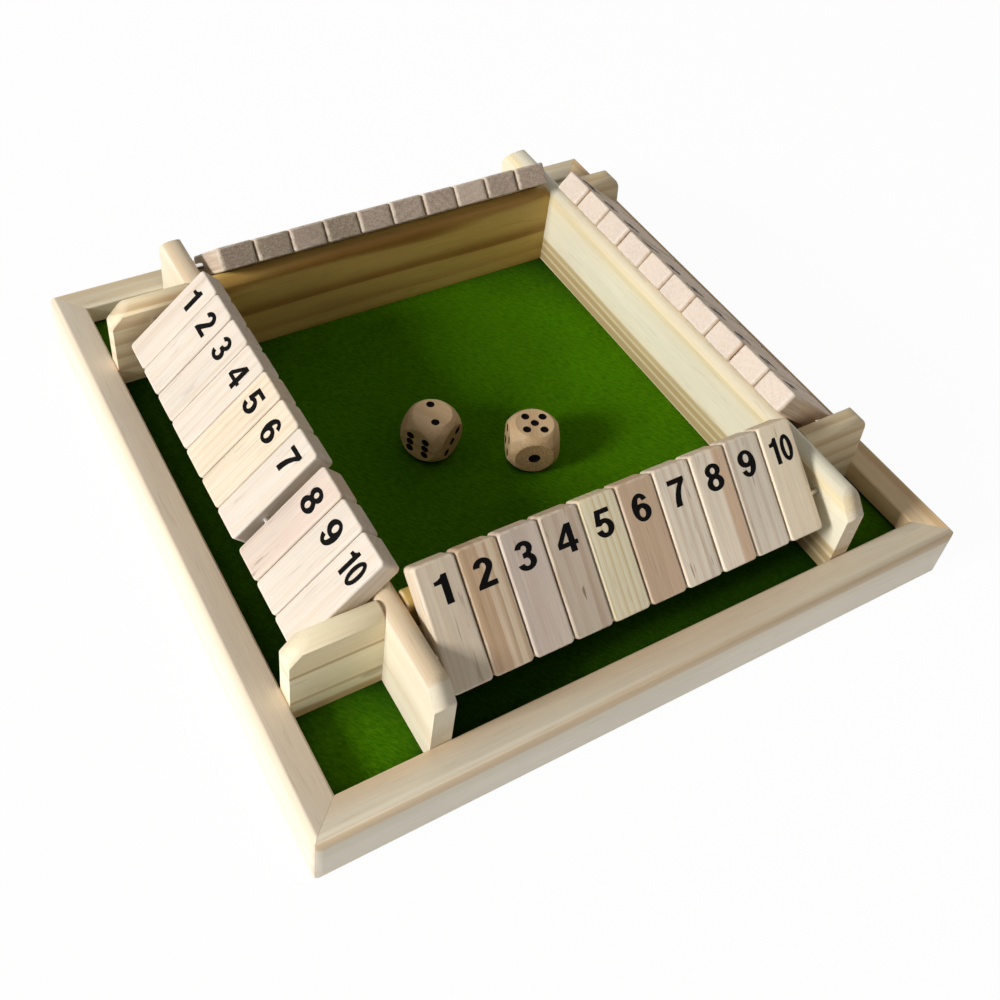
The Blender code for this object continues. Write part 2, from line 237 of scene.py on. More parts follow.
def makeFelt():
    material, tree, shader = newMaterial("greenFelt")
    place = put(tree, "TexCoord").outputs["Object"]
    broad = speckle(tree, place, (38, 38, 38), detail=3.0)
    turned = put(tree, "VectorRotate", {"Vector": place, "Angle": 0.9}).outputs[0]
    tuft = speckle(tree, turned, (420, 1500, 900), detail=4.0, roughness=0.65)
    fibre = speckle(tree, turned, (900, 3800, 2400), detail=3.0, roughness=0.7)
    colour = mixed(tree, ranged(tree, tuft, 0.3, 0.7), paint(50, 98, 1), paint(76, 126, 2))
    colour = mixed(tree, ranged(tree, fibre, 0.5, 0.85, 0.0, 0.55), colour, paint(108, 156, 10))
    colour = shaded(tree, colour, ranged(tree, broad, 0.3, 0.7, 0.90, 1.08, "LINEAR"))
    # Painted shade: the cloth's colour turns to a near-black green where walls, rails and tiles close it in.
    occlusionForPaintedShade = put(tree, "AmbientOcclusion", {"Distance": 50 * mm}, samples=8).outputs["AO"]
    colour = mixed(tree, ranged(tree, occlusionForPaintedShade, 0.18, 0.52, 0.95, 0.0), colour, paint(2, 32, 5))
    tree.links.new(colour, shader.inputs["Base Color"])
    tree.links.new(ranged(tree, fibre, 0.3, 0.7, 0.86, 1.0, "LINEAR"), shader.inputs["Roughness"])
    shader.inputs["Specular IOR Level"].default_value = 0.03
    height = sums(tree, "ADD", sums(tree, "MULTIPLY", tuft, 0.8), sums(tree, "MULTIPLY", fibre, 0.6))
    bump = put(tree, "Bump", {"Height": height, "Strength": 0.55, "Distance": 0.0005})
    tree.links.new(bump.outputs["Normal"], shader.inputs["Normal"])
    return material


def makeSteel():
    material, tree, shader = newMaterial("rodSteel")
    place = put(tree, "TexCoord").outputs["Object"]
    scratch = speckle(tree, place, (900, 900, 900), detail=4.0, roughness=0.7)
    dull = speckle(tree, place, (60, 60, 60), detail=2.0)
    colour = mixed(tree, ranged(tree, dull, 0.35, 0.65), paint(232, 230, 226), paint(206, 203, 198))
    tree.links.new(colour, shader.inputs["Base Color"])
    shader.inputs["Metallic"].default_value = 1.0
    tree.links.new(ranged(tree, scratch, 0.3, 0.7, 0.22, 0.42, "LINEAR"), shader.inputs["Roughness"])
    bump = put(tree, "Bump", {"Height": scratch, "Strength": 0.1, "Distance": 0.0001})
    tree.links.new(bump.outputs["Normal"], shader.inputs["Normal"])
    return material


def makeInk(name, colour):
    material, tree, shader = newMaterial(name)
    place = put(tree, "TexCoord").outputs["Object"]
    thin = speckle(tree, place, (1500, 1500, 1500), detail=3.0)
    colours = mixed(tree, ranged(tree, thin, 0.5, 0.8, 0.0, 0.15), colour, paint(40, 34, 30))
    tree.links.new(colours, shader.inputs["Base Color"])
    tree.links.new(ranged(tree, thin, 0.3, 0.7, 0.45, 0.7, "LINEAR"), shader.inputs["Roughness"])
    shader.inputs["Specular IOR Level"].default_value = 0.06
    bump = put(tree, "Bump", {"Height": thin, "Strength": 0.2, "Distance": 0.0001})
    tree.links.new(bump.outputs["Normal"], shader.inputs["Normal"])
    return material


def makePlywood():
    material, tree, shader = newMaterial("basePlywood")
    place = put(tree, "TexCoord").outputs["Object"]
    figure = speckle(tree, place, (140, 9, 140), detail=4.0, roughness=0.6)
    fibre = speckle(tree, place, (1800, 60, 1800), detail=3.0, roughness=0.6)
    colour = mixed(tree, ranged(tree, figure, 0.35, 0.65), paint(196, 164, 122), paint(168, 128, 86))
    colour = shaded(tree, colour, ranged(tree, fibre, 0.3, 0.7, 0.88, 1.1, "LINEAR"))
    layers = put(tree, "SeparateXYZ", {0: place}).outputs["Z"]
    ply = ranged(tree, sums(tree, "FRACT", sums(tree, "DIVIDE", layers, 2 * mm)), 0.45, 0.55, 1.0, 0.86)
    colour = shaded(tree, colour, ply)
    tree.links.new(colour, shader.inputs["Base Color"])
    tree.links.new(ranged(tree, fibre, 0.3, 0.7, 0.6, 0.8, "LINEAR"), shader.inputs["Roughness"])
    bump = put(tree, "Bump", {"Height": fibre, "Strength": 0.2, "Distance": 0.0003})
    tree.links.new(bump.outputs["Normal"], shader.inputs["Normal"])
    return material


def newBox(sizeX, sizeY, sizeZ):
    shape = bmesh.new()
    bmesh.ops.create_cube(shape, size=1)
    bmesh.ops.scale(shape, vec=(sizeX, sizeY, sizeZ), verts=shape.verts)
    return shape


def newRound(radius, length, sides, place=Matrix()):
    shape = bmesh.new()
    bmesh.ops.create_cone(
        shape, cap_ends=True, segments=sides, radius1=radius, radius2=radius, depth=length, matrix=place
    )
    return shape


def soften(shape, edges, offset, segments):     # sand some edges round; the new faces are smooth and worn
    worn = shape.faces.layers.float.get("worn") or shape.faces.layers.float.new("worn")
    result = bmesh.ops.bevel(
        shape, geom=edges, offset=offset, segments=segments, profile=0.5, affect="EDGES",
        material=-1, clamp_overlap=True,
    )
    for face in result["faces"]:
        face.smooth = True
        face[worn] = 1.0


def trim(shape, point, normal):                 # saw off what lies beyond a plane
    geometry = shape.verts[:] + shape.edges[:] + shape.faces[:]
    result = bmesh.ops.bisect_plane(
        shape, geom=geometry, dist=joinery["weld"], plane_co=point, plane_no=normal, clear_outer=True
    )
    rim = [item for item in result["geom_cut"] if isinstance(item, bmesh.types.BMEdge)]
    faces = bmesh.ops.holes_fill(shape, edges=rim)["faces"]
    bmesh.ops.recalc_face_normals(shape, faces=shape.faces)
    return faces


def drawOut(outline, length):                   # an outline (across, up) as a bar along X
    shape = bmesh.new()
    verts = [shape.verts.new((-length / 2, across, up)) for across, up in outline]
    face = shape.faces.new(verts)
    drawn = bmesh.ops.extrude_face_region(shape, geom=[face])["geom"]
    bmesh.ops.translate(
        shape, vec=(length, 0, 0), verts=[item for item in drawn if isinstance(item, bmesh.types.BMVert)]
    )
    bmesh.ops.recalc_face_normals(shape, faces=shape.faces)
    return shape


def toObject(name, shape):
    mesh = bpy.data.meshes.new(name)
    shape.to_mesh(mesh)
    shape.free()
    item = bpy.data.objects.new(name, mesh)
    bpy.context.scene.collection.objects.link(item)
    return item


def carve(shape, tools, operation="DIFFERENCE"):    # cut a shape with another and give the result back
    item = toObject("carved", shape)
    tool = toObject("tool", tools)
    boolean = item.modifiers.new("cut", "BOOLEAN")
    boolean.operation = operation
    boolean.solver = "EXACT"
    boolean.object = tool
    bpy.context.view_layer.update()
    graph = bpy.context.evaluated_depsgraph_get()
    mesh = bpy.data.meshes.new_from_object(item.evaluated_get(graph))
    result = bmesh.new()
    result.from_mesh(mesh)
    bmesh.ops.remove_doubles(result, verts=result.verts, dist=joinery["weld"] / 2)
    for leftover in (item, tool):
        bpy.data.objects.remove(leftover, do_unlink=True)
    return result


def markGrain(shape, board, pith):
    # Note the place of each point from the pith and from the board's middle, and the end grain.
    grain = shape.verts.layers.float_vector.new("grain")
    middle = shape.verts.layers.float_vector.new("middle")
    ends = shape.faces.layers.float.get("endGrain") or shape.faces.layers.float.new("endGrain")
    offset = Vector((pith[0], pith[1], 0)) * mm
    for vert in shape.verts:
        vert[middle] = board @ vert.co
        vert[grain] = board @ vert.co - offset
    shape.normal_update()
    for face in shape.faces:
        face[ends] = (board.to_3x3() @ face.normal).z ** 2


def boardAt(lengthAxis, acrossAxis, shift):
    # Turn a piece's own frame so that Z runs along the grain.
    along = Vector(lengthAxis)
    across = Vector(acrossAxis)
    turn = Matrix((across, along.cross(across), along)).to_4x4()
    return Matrix.Translation((0, 0, shift)) @ turn


def addPiece(name, shape, place, materials, body, replaced):
    shape.transform(place)
    item = toObject(name, shape)
    for material in materials:
        item.data.materials.append(material)
    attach(item, body)
    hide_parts(replaced)
    return item


def rowTurn(row):
    return Matrix.Rotation(rows.index(row) * math.pi / 2, 4, "Z")


def nodeBox(name):
    low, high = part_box(name)
    return Vector(low), Vector(high)


# Rails: mitred mouldings with a rounded outer shoulder.
rail = {
    "width": 10.3 * mm,
    "height": 20.2 * mm,
    "lipDrop": 1.0 * mm,
    "crestSetback": 2.1 * mm,
    "shoulderDrop": 4.6 * mm,
    "shoulderSteps": 12,
    "curveStep": 1.6 * mm,      # faces narrower than this belong to a curve
    "footRound": 1.3 * mm,
    "arris": 0.6 * mm,
    "cornerRound": 2.6 * mm,
    "cornerSteps": 6,
    "grooveDepth": 4.0 * mm,
    "grooveLow": 8.0 * mm,
    "grooveHigh": 11.6 * mm,
    "inner": 99.7 * mm,
    "mitreSoftening": 0.06 * mm,
}
railBoards = {                  # pith place across and up from the rail's middle, and the look
    "front": ((-14, 42), "railFront"),
    "right": ((30, 60), "railRight"),
    "back": ((-40, 44), "railBack"),
    "left": ((-18, 38), "railLeft"),
}


def railOutline():
    crest = rail["width"] - rail["crestSetback"]
    lip = rail["height"] - rail["lipDrop"]
    points = [(0, 0), (rail["width"] - rail["footRound"], 0)]
    for step in range(1, 4):
        angle = math.pi / 6 * step
        points.append((
            rail["width"] - rail["footRound"] * (1 - math.sin(angle)),
            rail["footRound"] * (1 - math.cos(angle)),
        ))
    for step in range(rail["shoulderSteps"] + 1):
        angle = math.pi / 2 * step / rail["shoulderSteps"]
        points.append((
            crest + rail["crestSetback"] * math.cos(angle),
            rail["height"] - rail["shoulderDrop"] * (1 - math.sin(angle)),
        ))
    for step in range(4):
        angle = math.pi / 6 * step
        points.append((rail["arris"] * (1 - math.sin(angle)), lip - rail["arris"] * (1 - math.cos(angle))))
    points += [
        (0, rail["grooveHigh"]), (rail["grooveDepth"], rail["grooveHigh"]),
        (rail["grooveDepth"], rail["grooveLow"]), (0, rail["grooveLow"]),
    ]
    return [(-across, up) for across, up in points]


def addRails(woods):
    overall = 2 * (rail["inner"] + rail["width"])
    for row in rows:
        shape = drawOut(railOutline(), overall)
        bmesh.ops.translate(shape, vec=(0, -rail["inner"], 0), verts=shape.verts)
        for face in shape.faces:        # the drawn length is smooth round its curves
            face.smooth = face.calc_area() < rail["curveStep"] * overall and abs(face.normal.x) < 0.5
        mitres = []
        for end in (-1, 1):
            normal = Vector((end, 1, 0)).normalized()
            trim(shape, -normal * joinery["seat"] / 2, normal)
            centre = Vector((end, -1, 0)) * (overall / 2 - rail["cornerRound"])
            for step in range(rail["cornerSteps"]):
                angle = math.pi / 4 * (step + 0.5) / rail["cornerSteps"]
                facing = Vector((end * math.sin(angle), -math.cos(angle), 0))
                for face in trim(shape, centre + facing * rail["cornerRound"], facing):
                    face.smooth = True
            mitres.append(normal)
        edges = [
            edge for edge in shape.edges
            if any(face.normal.dot(normal) > 0.999 for face in edge.link_faces for normal in mitres)
        ]
        soften(shape, edges, rail["mitreSoftening"], 2)
        pith, wood = railBoards[row]
        middle = Vector((0, -rail["inner"] - rail["width"] / 2, rail["height"] / 2))
        board = boardAt((1, 0, 0), (0, 1, 0), 0.3 * rows.index(row)) @ Matrix.Translation(-middle)
        markGrain(shape, board, pith)
        addPiece(
            row + "Rail", shape, rowTurn(row), [woods[wood]], "tray", row + "_rail"
        )


# Walls and wings: boards with a fully rounded top, some with a corner sawn off.
wall = {
    "thickness": 6.4 * mm,
    "centre": 69.3 * mm,
    "foot": 12.42 * mm,
    "top": 44.3 * mm,
    "roundSteps": 16,
    "curveStep": 2.0 * mm,
    "chamferRun": 6.6 * mm,
    "chamferRise": 7.4 * mm,
    "cornerRadius": 8.0 * mm,
    "cornerCuts": 8,
    "cornerLean": math.radians(3.5),
    "roundedTop": 43.2 * mm,
    "tray": 199.4 * mm,
    "arena": 132.2 * mm,
}
wallBoards = {                  # pith across and up, and the look
    "left_wall": ((26, 60), "wallPale"),
    "right_wall": ((-34, 52), "wallRight"),
    "front_wall": ((22, 30), "wallBanded"),
    "back_wall": ((15, 15), "wallBanded"),
    "left_front_wing": ((14, 34), "wallGreenish"),
    "left_back_wing": ((20, 40), "wallStriped"),
    "right_front_wing": ((24, 30), "wallStriped"),
    "right_back_wing": ((24, 44), "wallStriped"),
}

rod = {
    "radius": 1.0 * mm,
    "bore": 1.06 * mm,
    "boreSides": 20,
    "reach": 85.8 * mm,
    "level": 36.4 * mm,
    "seatDepth": 4.0 * mm,
    "endChamfer": 0.25 * mm,
    "endGap": 0.3 * mm,
    "sides": 32,
}


def wallOutline(foot, top):
    half = wall["thickness"] / 2
    points = [(-half, foot), (half, foot)]
    for step in range(wall["roundSteps"] + 1):
        angle = math.pi * step / wall["roundSteps"]
        points.append((half * math.cos(angle), top - half + half * math.sin(angle)))
    return points


def rodPlace(row):
    return rowTurn(row) @ Matrix.Translation((0, -rod["reach"], rod["level"]))


def roundCorner(shape, length, end, top):
    # Lean the end in a little above the rail and saw its corner round.
    radius = wall["cornerRadius"]
    lean = wall["cornerLean"]
    foot = Vector((end * length / 2, 0, rail["height"]))
    trim(shape, foot, Vector((end * math.cos(lean), 0, math.sin(lean))))
    inset = (top - rail["height"]) * math.tan(lean)
    centre = Vector((end * (length / 2 - inset - radius), 0, top - radius))
    for step in range(wall["cornerCuts"]):
        angle = math.pi / 2 * (step + 0.5) / wall["cornerCuts"]
        facing = Vector((end * math.sin(angle), 0, math.cos(angle)))
        for face in trim(shape, centre + facing * radius, facing):
            face.smooth = True


def addWall(name, length, place, chamfered, woods, drilled):
    rounded = name in ("right_front_wing", "right_back_wing")
    top = wall["roundedTop"] if rounded else wall["top"]
    shape = drawOut(wallOutline(wall["foot"], top), length)
    for face in shape.faces:
        face.smooth = face.calc_area() < wall["curveStep"] * length and abs(face.normal.x) < 0.5
    for end in chamfered:
        if rounded:
            roundCorner(shape, length, end, top)
            continue
        corner = Vector((end * length / 2, 0, wall["top"] - wall["chamferRise"]))
        normal = Vector((end * wall["chamferRise"], 0, wall["chamferRun"])).normalized()
        trim(shape, corner, normal)
    faces = {face for face in shape.faces if abs(face.normal.x) > 0.3 and not face.smooth}
    edges = [
        edge for edge in shape.edges
        if faces.intersection(edge.link_faces) and min(vert.co.z for vert in edge.verts) > wall["foot"] + mm
    ]
    soften(shape, edges, joinery["endSoftening"], 3)
    for row in drilled:
        depth = wall["arena"] + 2 * rod["seatDepth"]
        drill = newRound(rod["bore"], depth, rod["boreSides"], Matrix.Rotation(math.pi / 2, 4, "Y"))
        drill.transform(place.inverted() @ rodPlace(row))
        shape = carve(shape, drill)
    pith, wood = wallBoards[name]
    middle = Vector((0, 0, (wall["foot"] + wall["top"]) / 2))
    board = boardAt((1, 0, 0), (0, 1, 0), 0.25 * len(name)) @ Matrix.Translation(-middle)
    markGrain(shape, board, pith)
    words = name.split("_")
    pieceName = words[0] + "".join(word.capitalize() for word in words[1:])
    addPiece(pieceName, shape, place, [woods[wood]], "tray", name)


def addWalls(woods):
    longLength = wall["tray"] - 2 * joinery["seat"]
    crossLength = wall["arena"] - 2 * joinery["seat"]
    channel = (wall["tray"] - wall["arena"]) / 2 - wall["thickness"]
    wingLength = channel - 2 * joinery["seat"]
    outward = wall["tray"] / 2 - channel / 2
    quarter = Matrix.Rotation(math.pi / 2, 4, "Z")
    for name, side in (("left_wall", -1), ("right_wall", 1)):
        place = Matrix.Translation((side * wall["centre"], 0, 0)) @ quarter
        addWall(name, longLength, place, (-1, 1), woods, ("front", "back"))
    for name, side in (("front_wall", -1), ("back_wall", 1)):
        addWall(name, crossLength, Matrix.Translation((0, side * wall["centre"], 0)), (), woods, ())
    for sideName, side in (("left", -1), ("right", 1)):
        for depthName, depth in (("front", -1), ("back", 1)):
            place = Matrix.Translation((side * outward, depth * wall["centre"], 0))
            addWall(sideName + "_" + depthName + "_wing", wingLength, place, (side,), woods, (sideName,))


def addRods(steel):
    length = wall["arena"] + 2 * (rod["seatDepth"] - rod["endGap"])
    for row in rows:
        shape = newRound(rod["radius"], length, rod["sides"], Matrix.Rotation(math.pi / 2, 4, "Y"))
        for face in shape.faces:
            face.smooth = len(face.verts) == 4
        rims = [edge for edge in shape.edges if any(len(face.verts) > 4 for face in edge.link_faces)]
        soften(shape, rims, rod["endChamfer"], 2)
        addPiece(row + "Rod", shape, rodPlace(row), [steel], "tray", row + "_rod")


# Felt: one square of cloth laid on the base board, a little uneven.
felt = {
    "side": 198.8 * mm,
    "bottom": 11.6 * mm,
    "thickness": 0.8 * mm,
    "cells": 130,
    "wave": 0.05 * mm,
    "waveLength": 14 * mm,
}


def addFelt(material):
    shape = bmesh.new()
    bmesh.ops.create_grid(shape, x_segments=felt["cells"], y_segments=felt["cells"], size=felt["side"] / 2)
    top = felt["bottom"] + felt["thickness"]
    for vert in shape.verts:
        wave = noise.noise(vert.co / felt["waveLength"]) * felt["wave"]
        vert.co.z = top - felt["wave"] + wave
    bmesh.ops.solidify(shape, geom=shape.faces[:], thickness=felt["thickness"] - 2 * felt["wave"])
    bmesh.ops.recalc_face_normals(shape, faces=shape.faces)
    for face in shape.faces:
        face.smooth = abs(face.normal.z) > 0.5
    item = addPiece("feltLining", shape, Matrix(), [material], "tray", "felt")


# Tiles: eased blocks, bored for the rod, each with its number in black.
tile = {
    "width": 12.2 * mm,
    "thickness": 8.0 * mm,
    "length": 34.8 * mm,
    "corner": 1.3 * mm,
    "ease": 0.7 * mm,
    "easeSegments": 4,
    "sharpFrom": math.radians(60),
    "footBelowRod": 10.2 * mm,
    "restGap": 0.25 * mm,
    "numberHeight": 8.0 * mm,
    "numberFromTop": 4.2 * mm,
    "numberWander": 0.25,       # mm to either side
    "boardLength": 4,           # metres of board that the tiles are sawn from
    "inkProud": 0.05 * mm,
    "setBack": 0.08 * mm,       # keeps every number face inside the tile's packed size
}
tileRows = {                    # look of each tile, how far its number face stands proud, and its pith, in mm
    "front": (
        ("beige", -0.3, (30, 38)), ("striped", -0.5, (-22, 2)), ("pink", -0.25, (14, 44)),
        ("grey", -0.1, (20, 30)), ("yellow", -0.3, (-30, 6)), ("smooth", -0.3, (-26, 30)),
        ("flecked", -0.15, (24, 4)), ("halfBrown", 0.0, (34, 2)), ("lightFlecked", -0.2, (-28, -5)),
        ("lightBeige", -0.05, (18, 42)),
    ),
    "right": (
        ("litEnds", -0.1, (24, 30)), ("litEnds", 0.0, (-20, 34)), ("litEnds", -0.2, (16, -40)),
        ("litEnds", -0.1, (6, 30)), ("litEnds", 0.0, (-32, 20)), ("litEnds", -0.1, (12, 26)),
        ("litEnds", -0.2, (20, -30)), ("litEnds", 0.0, (-14, 36)), ("litEnds", -0.1, (28, 28)),
        ("litEnds", -0.1, (-8, 30)),
    ),
    "back": (
        ("shadedEndsPale", -0.1, (20, 30)), ("shadedEndsPale", 0.0, (-24, 26)), ("shadedEndsLight", -0.2, (8, -32)),
        ("shadedEndsPale", -0.1, (30, 20)), ("shadedEndsPale", 0.0, (-18, 40)), ("shadedEndsPale", -0.1, (16, 30)),
        ("dusky", 0.0, (-30, 20)), ("shadedEndsPale", -0.1, (22, 34)), ("dusky", -0.2, (-12, 28)),
        ("dusky", -0.1, (26, -30)),
    ),
    "left": (
        ("pale", -0.1, (16, 40)), ("pale", 0.0, (-20, 44)), ("pale", -0.2, (24, 40)),
        ("pale", -0.1, (-30, 24)), ("cream", 0.0, (30, 8)), ("cream", -0.1, (-26, 12)),
        ("pale", 0.0, (20, 46)), ("pink", -0.1, (12, 40)), ("pale", -0.2, (-24, 40)),
        ("pale", -0.1, (28, 36)),
    ),
}


def arc(centreX, centreY, radiusX, radiusY, start, end, steps=10):
    angles = [math.radians(start + (end - start) * step / steps) for step in range(steps + 1)]
    return [(centreX + radiusX * math.cos(angle), centreY + radiusY * math.sin(angle)) for angle in angles]


def ring(centreX, centreY, radiusX, radiusY):
    return arc(centreX, centreY, radiusX, radiusY, 0, 360, 24)[:-1]


# Bold figures one unit high, as closed outlines; a second outline inside is a hole.
figures = {
    "1": (0.46, [[(0.44, 0), (0.44, 1.0), (0.29, 1.0), (0.25, 0.91), (0.17, 0.85), (0.05, 0.83), (0.05,
                  0.70),
                  (0.24, 0.70), (0.24, 0)]]),
    "2": (0.57, [arc(0.28, 0.71, 0.27, 0.29, 178, -35, 16) + [(0.28, 0.18), (0.56, 0.18), (0.56, 0),
                  (0.0, 0),
                 (0.02, 0.13), (0.10, 0.26)] + arc(0.28, 0.70, 0.085, 0.135, -35, 178, 12)]),
    "3": (0.56, [arc(0.27, 0.74, 0.25, 0.26, 170, -48, 16) + arc(0.27, 0.29, 0.28, 0.29, 48, -170, 16)
                 + arc(0.27, 0.29, 0.095, 0.135, -170, 90, 14) + [(0.20, 0.425), (0.20, 0.595)]
                 + arc(0.27, 0.73, 0.08, 0.12, -90, 170, 12)]),
    "4": (0.60, [[(0.34, 0), (0.52, 0), (0.52, 0.22), (0.60, 0.22), (0.60, 0.375), (0.52, 0.375),
                  (0.52, 1.0),
                  (0.34, 1.0), (0.0, 0.40), (0.0, 0.22), (0.34, 0.22)], [(0.34, 0.375), (0.15, 0.375),
                  (0.34, 0.72)]]),
    "5": (0.56, [arc(0.27, 0.33, 0.28, 0.33, 190, 470, 20) + [(0.205, 0.645), (0.23, 0.83), (0.52,
                  0.83), (0.52, 1.0),
                 (0.09, 1.0), (0.015, 0.46), (0.175, 0.44)] + arc(0.27, 0.33, 0.095, 0.17, 130, -170,
                  14)]),
    "6": (0.57, [arc(0.285, 0.5, 0.28, 0.5, 30, 270, 18) + arc(0.285, 0.32, 0.28, 0.32, 270, 468, 16)
                 + arc(0.295, 0.5, 0.095, 0.345, 158, 38, 10), ring(0.285, 0.31, 0.095, 0.165)]),
    "7": (0.56, [[(0.01, 1.0), (0.55, 1.0), (0.55, 0.85), (0.43, 0.66), (0.35, 0.44), (0.31, 0.22),
                  (0.30, 0),
                  (0.10, 0), (0.12, 0.22), (0.17, 0.44), (0.25, 0.64), (0.35, 0.82), (0.01, 0.82)]]),
    "8": (0.57, [arc(0.285, 0.74, 0.25, 0.26, -48, 228, 18) + arc(0.285, 0.29, 0.28, 0.29, 132, 408, 20),
                 ring(0.285, 0.735, 0.08, 0.115), ring(0.285, 0.29, 0.095, 0.14)]),
    "9": (0.57, []),
    "0": (0.57, [ring(0.285, 0.5, 0.28, 0.5), ring(0.285, 0.5, 0.095, 0.34)]),
}
figures["9"] = (0.57, [[(0.57 - x, 1 - y) for x, y in outline] for outline in figures["6"][1]])
figureGap = 0.10
figureStretch = 1.3
tenStretch = 0.92


def numberMesh(number):         # the number as a thin closed solid, standing on the middle of its foot
    curve = bpy.data.curves.new("number", "CURVE")
    curve.dimensions = "2D"
    curve.fill_mode = "BOTH"
    curve.extrude = 1.0
    stretch = tenStretch if number > 9 else figureStretch
    pen = 0.0
    for figure in str(number):
        width, outlines = figures[figure]
        for outline in outlines:
            spline = curve.splines.new("POLY")
            spline.points.add(len(outline) - 1)
            for point, (x, y) in zip(spline.points, outline):
                point.co.xy = (pen + x * stretch, y)
            spline.use_cyclic_u = True
        pen += (width + figureGap) * stretch
    pen -= figureGap * stretch
    drawn = bpy.data.objects.new("number", curve)
    bpy.context.scene.collection.objects.link(drawn)
    bpy.context.view_layer.update()
    mesh = bpy.data.meshes.new_from_object(drawn.evaluated_get(bpy.context.evaluated_depsgraph_get()))
    bpy.data.objects.remove(drawn, do_unlink=True)
    shape = bmesh.new()
    shape.from_mesh(mesh)
    bmesh.ops.remove_doubles(shape, verts=shape.verts, dist=0.001)
    bmesh.ops.recalc_face_normals(shape, faces=shape.faces)
    size = tile["numberHeight"]
    place = Matrix.Diagonal((size, size, tile["inkProud"], 1)) @ Matrix.Translation((-pen / 2, 0, 0))
    shape.transform(place)
    shape.to_mesh(mesh)
    shape.free()
    return mesh


def tileBlank():
    shape = newBox(tile["width"], tile["thickness"], tile["length"])
    corners = [edge for edge in shape.edges if abs(edge.verts[0].co.y - edge.verts[1].co.y) > mm]
    soften(shape, corners, tile["corner"], tile["easeSegments"])
    rims = [edge for edge in shape.edges if edge.calc_face_angle() > tile["sharpFrom"]]
    soften(shape, rims, tile["ease"], tile["easeSegments"])
    bmesh.ops.translate(shape, vec=(0, 0, tile["length"] / 2 - tile["footBelowRod"]), verts=shape.verts)
    drill = newRound(rod["bore"], 2 * tile["width"], rod["boreSides"], Matrix.Rotation(math.pi / 2, 4, "Y"))
    shape = carve(shape, drill)
    for face in shape.faces:    # the bore is smooth inside
        near = face.calc_center_median()
        if abs(near.x) < tile["width"] / 2 - mm and math.hypot(near.y, near.z) < rod["bore"] + 0.1 * mm:
            face.smooth = True
    blank = bpy.data.meshes.new("tileBlank")
    shape.to_mesh(blank)
    shape.free()
    return blank


def tileLean():
    inward = rod["reach"] - wall["centre"]
    upward = wall["top"] - wall["thickness"] / 2 - rod["level"]
    offset = (tile["thickness"] + wall["thickness"]) / 2 + tile["restGap"]
    return math.atan2(inward, upward) - math.asin(offset / math.hypot(inward, upward))


def addTiles(woods, ink):
    blank = tileBlank()
    numbers = {number: numberMesh(number) for number in range(1, 11)}
    lean = Matrix.Rotation(-tileLean(), 4, "X")
    for row in rows:
        alongRow = rowTurn(row).to_3x3() @ Vector((1, 0, 0))
        for number, (wood, proud, pith) in enumerate(tileRows[row], start=1):
            node = f"{row}_tile_{number:02d}"
            draw = random.Random(node)
            low, high = nodeBox(node)
            along = ((low + high) / 2).dot(alongRow)
            shape = bmesh.new()
            shape.from_mesh(blank)
            standing = proud * mm - tile["setBack"]
            for vert in shape.verts:
                if vert.co.y < -rod["bore"]:
                    vert.co.y -= standing
            board = boardAt((0, 0, 1), (1, 0, 0), draw.uniform(0, tile["boardLength"]))
            figure = bmesh.new()
            figure.from_mesh(numbers[number])
            figure.transform(
                Matrix.Translation((
                    draw.uniform(-tile["numberWander"], tile["numberWander"]) * mm,
                    -tile["thickness"] / 2 - standing,
                    tile["length"] - tile["footBelowRod"] - tile["numberFromTop"] - tile["numberHeight"],
                )) @ Matrix.Rotation(math.pi / 2, 4, "X")
            )
            for face in figure.faces:
                face.material_index = 1
            markGrain(figure, board, pith)
            markGrain(shape, board, pith)
            extra = bpy.data.meshes.new("figure")
            figure.to_mesh(extra)
            figure.free()
            shape.from_mesh(extra)
            seat = Matrix.Translation((along, -rod["reach"], rod["level"]))
            place = rowTurn(row) @ seat @ lean
            addPiece(f"{row}Tile{number:02d}", shape, place, [woods[wood], ink], node, node)


# Dice: cubes turned down by a sphere, with drilled and blackened pips.
die = {
    "size": 16.0 * mm,
    "flatRadius": 6.2 * mm,
    "segments": 72,
    "rings": 36,
    "pipSpacing": 5.6 * mm,
    "pipRadius": 1.35 * mm,
    "aceRadius": 1.9 * mm,
    "pipDepth": 0.8 * mm,
    "pipSides": 24,
    "level": 20.42 * mm,
}
dieFaces = {                    # outward direction, direction across and count of each face
    "left_die": (
        ((0, 0, 1), (1, 0, 0), 2), ((0, 0, -1), (1, 0, 0), 5), ((-1, 0, 0), (0, 1, 0), 6),
        ((1, 0, 0), (0, 1, 0), 1), ((0, -1, 0), (-1, 0, 0), 3), ((0, 1, 0), (1, 0, 0), 4),
    ),
    "right_die": (
        ((0, 0, 1), (1, 0, 0), 5), ((0, 0, -1), (1, 0, 0), 2), ((-1, 0, 0), (0, 1, 0), 4),
        ((1, 0, 0), (0, 1, 0), 3), ((0, -1, 0), (1, 0, 0), 1), ((0, 1, 0), (1, 0, 0), 6),
    ),
}
dieYaw = {"left_die": math.radians(28), "right_die": math.radians(-25.6)}


def pipMarks(count):
    marks = [(0, 0)] if count % 2 else []
    if count > 1:
        marks += [(-1, -1), (1, 1)]
    if count > 3:
        marks += [(-1, 1), (1, -1)]
    if count == 6:
        marks += [(-1, 0), (1, 0)]
    return marks


